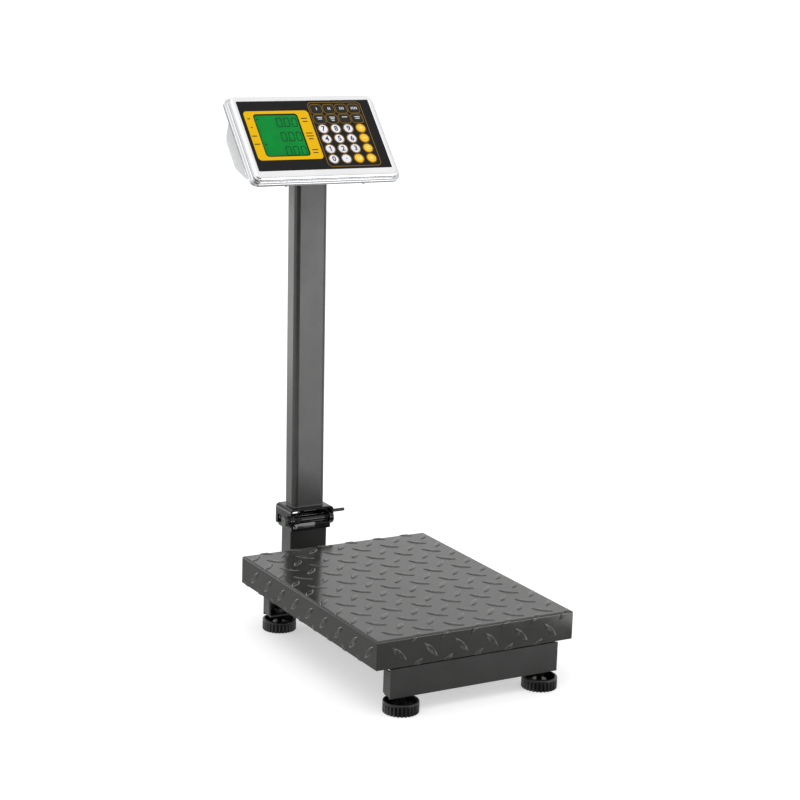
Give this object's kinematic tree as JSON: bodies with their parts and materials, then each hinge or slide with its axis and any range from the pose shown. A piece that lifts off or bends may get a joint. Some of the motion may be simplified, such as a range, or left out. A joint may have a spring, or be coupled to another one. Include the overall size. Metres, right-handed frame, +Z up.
{
  "type": "platform scale",
  "caption": "Bench platform scale with a checker-plate pan on levelling feet, a column that folds at a latched hinge, and a tilting keypad display head.",
  "frame": {"origin": "middle of the bounding box on the floor, under the feet", "axes": "+Z up, +Y from the user towards the column, +X to the user's right"},
  "size_m": [0.3, 0.5888, 0.7393],
  "materials": {
    "painted_steel": "charcoal powder coat, semi-gloss",
    "pan_steel": "charcoal powder coat on checker plate, semi-gloss",
    "bracket_black": "gloss black paint",
    "zinc": "zinc plated",
    "spring_steel": "oiled spring steel",
    "cell_aluminium": "satin anodised",
    "rubber_black": "matt",
    "foot_rubber": "satin ribbed",
    "plug_plastic": "matt",
    "bezel_steel": "polished stainless",
    "shell_plastic": "light grey satin",
    "panel_black": "satin printed film",
    "lcd": "green backlit display under clear film",
    "board": "green solder mask",
    "battery_case": "matt",
    "switch_black": "satin",
    "rocker_red": "satin",
    "key_black": "satin",
    "key_white": "satin",
    "key_yellow": "satin"
  },
  "bodies": {
    "base": {"base_front_channel": "painted_steel", "base_rear_channel": "painted_steel", "base_spine": "painted_steel", "spine_end_plug": "plug_plastic", "column_stub": "painted_steel", "lower_hinge_bracket": "bracket_black", "overload_stops": "zinc", "load_cell": "cell_aluminium", "load_cell_hardware": "zinc", "platform_frame": "painted_steel", "platform_pads": "rubber_black", "foot_lock_nuts": "bracket_black", "hinge_bolt": "zinc", "hinge_spacer_and_nut": "bracket_black", "hinge_spring": "spring_steel"},
    "pan": {"platform_pan": "pan_steel"},
    "foot_front_left": {"foot_front_left": "foot_rubber"},
    "foot_front_right": {"foot_front_right": "foot_rubber"},
    "foot_rear_left": {"foot_rear_left": "foot_rubber"},
    "foot_rear_right": {"foot_rear_right": "foot_rubber"},
    "latch": {"latch_rod": "bracket_black"},
    "mast": {"upper_hinge_bracket": "bracket_black", "mast_tube": "painted_steel", "neck_fork": "bracket_black"},
    "head": {"head_bracket": "zinc", "tilt_bolt_set": "zinc", "head_bezel": "bezel_steel", "head_shell": "shell_plastic", "overlay_panel": "panel_black", "lcd_module": "lcd", "circuit_board": "board", "battery": "battery_case", "head_screws": "zinc", "power_switch_body": "switch_black", "charge_jack": "switch_black"},
    "rocker": {"power_rocker": "rocker_red"},
    "key_r1c1": {"key_r1c1": "key_black"},
    "key_r1c2": {"key_r1c2": "key_black"},
    "key_r1c3": {"key_r1c3": "key_black"},
    "key_r1c4": {"key_r1c4": "key_black"},
    "key_r2c1": {"key_r2c1": "key_black"},
    "key_r2c2": {"key_r2c2": "key_black"},
    "key_r2c3": {"key_r2c3": "key_black"},
    "key_r2c4": {"key_r2c4": "key_black"},
    "key_r3c1": {"key_r3c1": "key_white"},
    "key_r3c2": {"key_r3c2": "key_white"},
    "key_r3c3": {"key_r3c3": "key_white"},
    "key_r3c4": {"key_r3c4": "key_yellow"},
    "key_r4c1": {"key_r4c1": "key_white"},
    "key_r4c2": {"key_r4c2": "key_white"},
    "key_r4c3": {"key_r4c3": "key_white"},
    "key_r4c4": {"key_r4c4": "key_yellow"},
    "key_r5c1": {"key_r5c1": "key_white"},
    "key_r5c2": {"key_r5c2": "key_white"},
    "key_r5c3": {"key_r5c3": "key_white"},
    "key_r5c4": {"key_r5c4": "key_yellow"},
    "key_r6c1": {"key_r6c1": "key_white"},
    "key_r6c2": {"key_r6c2": "key_white"},
    "key_r6c3": {"key_r6c3": "key_yellow"},
    "key_r6c4": {"key_r6c4": "key_yellow"}
  },
  "joints": [
    {"name": "mast_fold", "type": "hinge", "parent": "base", "child": "mast", "pos_m": [0, 0.20005, 0.119], "axis": [1, 0, 0], "range_deg": [0, 90]},
    {"name": "latch_pull", "type": "slide", "parent": "base", "child": "latch", "axis": [0, 1, 0], "range_m": [0, 0.005], "stiffness_N_per_m": 500, "springref_m": -0.004},
    {"name": "head_tilt", "type": "hinge", "parent": "mast", "child": "head", "pos_m": [0, 0.22941, 0.63787], "axis": [1, 0, 0], "range_deg": [-25, 12]},
    {"name": "pan_lift", "type": "slide", "parent": "base", "child": "pan", "axis": [0, 0, -1], "range_m": [-0.06, 0]},
    {"name": "foot_front_left_screw", "type": "hinge", "parent": "base", "child": "foot_front_left", "pos_m": [-0.106, -0.27045, 0], "axis": [0, 0, 1], "continuous": true},
    {"name": "foot_front_right_screw", "type": "hinge", "parent": "base", "child": "foot_front_right", "pos_m": [0.106, -0.27045, 0], "axis": [0, 0, 1], "continuous": true},
    {"name": "foot_rear_left_screw", "type": "hinge", "parent": "base", "child": "foot_rear_left", "pos_m": [-0.106, 0.08205, 0], "axis": [0, 0, 1], "continuous": true},
    {"name": "foot_rear_right_screw", "type": "hinge", "parent": "base", "child": "foot_rear_right", "pos_m": [0.106, 0.08205, 0], "axis": [0, 0, 1], "continuous": true},
    {"name": "power_rock", "type": "hinge", "parent": "head", "child": "rocker", "pos_m": [0.1075, 0.2555, 0.67658], "axis": [0, -0.7431, 0.6691], "range_deg": [-16, 0]},
    {"name": "press_r1c1", "type": "slide", "parent": "head", "child": "key_r1c1", "axis": [0, 0.7431, -0.6691], "range_m": [0, 0.0008], "stiffness_N_per_m": 900, "springref_m": -0.0003},
    {"name": "press_r1c2", "type": "slide", "parent": "head", "child": "key_r1c2", "axis": [0, 0.7431, -0.6691], "range_m": [0, 0.0008], "stiffness_N_per_m": 900, "springref_m": -0.0003},
    {"name": "press_r1c3", "type": "slide", "parent": "head", "child": "key_r1c3", "axis": [0, 0.7431, -0.6691], "range_m": [0, 0.0008], "stiffness_N_per_m": 900, "springref_m": -0.0003},
    {"name": "press_r1c4", "type": "slide", "parent": "head", "child": "key_r1c4", "axis": [0, 0.7431, -0.6691], "range_m": [0, 0.0008], "stiffness_N_per_m": 900, "springref_m": -0.0003},
    {"name": "press_r2c1", "type": "slide", "parent": "head", "child": "key_r2c1", "axis": [0, 0.7431, -0.6691], "range_m": [0, 0.0008], "stiffness_N_per_m": 900, "springref_m": -0.0003},
    {"name": "press_r2c2", "type": "slide", "parent": "head", "child": "key_r2c2", "axis": [0, 0.7431, -0.6691], "range_m": [0, 0.0008], "stiffness_N_per_m": 900, "springref_m": -0.0003},
    {"name": "press_r2c3", "type": "slide", "parent": "head", "child": "key_r2c3", "axis": [0, 0.7431, -0.6691], "range_m": [0, 0.0008], "stiffness_N_per_m": 900, "springref_m": -0.0003},
    {"name": "press_r2c4", "type": "slide", "parent": "head", "child": "key_r2c4", "axis": [0, 0.7431, -0.6691], "range_m": [0, 0.0008], "stiffness_N_per_m": 900, "springref_m": -0.0003},
    {"name": "press_r3c1", "type": "slide", "parent": "head", "child": "key_r3c1", "axis": [0, 0.7431, -0.6691], "range_m": [0, 0.0008], "stiffness_N_per_m": 900, "springref_m": -0.0003},
    {"name": "press_r3c2", "type": "slide", "parent": "head", "child": "key_r3c2", "axis": [0, 0.7431, -0.6691], "range_m": [0, 0.0008], "stiffness_N_per_m": 900, "springref_m": -0.0003},
    {"name": "press_r3c3", "type": "slide", "parent": "head", "child": "key_r3c3", "axis": [0, 0.7431, -0.6691], "range_m": [0, 0.0008], "stiffness_N_per_m": 900, "springref_m": -0.0003},
    {"name": "press_r3c4", "type": "slide", "parent": "head", "child": "key_r3c4", "axis": [0, 0.7431, -0.6691], "range_m": [0, 0.0008], "stiffness_N_per_m": 900, "springref_m": -0.0003},
    {"name": "press_r4c1", "type": "slide", "parent": "head", "child": "key_r4c1", "axis": [0, 0.7431, -0.6691], "range_m": [0, 0.0008], "stiffness_N_per_m": 900, "springref_m": -0.0003},
    {"name": "press_r4c2", "type": "slide", "parent": "head", "child": "key_r4c2", "axis": [0, 0.7431, -0.6691], "range_m": [0, 0.0008], "stiffness_N_per_m": 900, "springref_m": -0.0003},
    {"name": "press_r4c3", "type": "slide", "parent": "head", "child": "key_r4c3", "axis": [0, 0.7431, -0.6691], "range_m": [0, 0.0008], "stiffness_N_per_m": 900, "springref_m": -0.0003},
    {"name": "press_r4c4", "type": "slide", "parent": "head", "child": "key_r4c4", "axis": [0, 0.7431, -0.6691], "range_m": [0, 0.0008], "stiffness_N_per_m": 900, "springref_m": -0.0003},
    {"name": "press_r5c1", "type": "slide", "parent": "head", "child": "key_r5c1", "axis": [0, 0.7431, -0.6691], "range_m": [0, 0.0008], "stiffness_N_per_m": 900, "springref_m": -0.0003},
    {"name": "press_r5c2", "type": "slide", "parent": "head", "child": "key_r5c2", "axis": [0, 0.7431, -0.6691], "range_m": [0, 0.0008], "stiffness_N_per_m": 900, "springref_m": -0.0003},
    {"name": "press_r5c3", "type": "slide", "parent": "head", "child": "key_r5c3", "axis": [0, 0.7431, -0.6691], "range_m": [0, 0.0008], "stiffness_N_per_m": 900, "springref_m": -0.0003},
    {"name": "press_r5c4", "type": "slide", "parent": "head", "child": "key_r5c4", "axis": [0, 0.7431, -0.6691], "range_m": [0, 0.0008], "stiffness_N_per_m": 900, "springref_m": -0.0003},
    {"name": "press_r6c1", "type": "slide", "parent": "head", "child": "key_r6c1", "axis": [0, 0.7431, -0.6691], "range_m": [0, 0.0008], "stiffness_N_per_m": 900, "springref_m": -0.0003},
    {"name": "press_r6c2", "type": "slide", "parent": "head", "child": "key_r6c2", "axis": [0, 0.7431, -0.6691], "range_m": [0, 0.0008], "stiffness_N_per_m": 900, "springref_m": -0.0003},
    {"name": "press_r6c3", "type": "slide", "parent": "head", "child": "key_r6c3", "axis": [0, 0.7431, -0.6691], "range_m": [0, 0.0008], "stiffness_N_per_m": 900, "springref_m": -0.0003},
    {"name": "press_r6c4", "type": "slide", "parent": "head", "child": "key_r6c4", "axis": [0, 0.7431, -0.6691], "range_m": [0, 0.0008], "stiffness_N_per_m": 900, "springref_m": -0.0003}
  ]
}
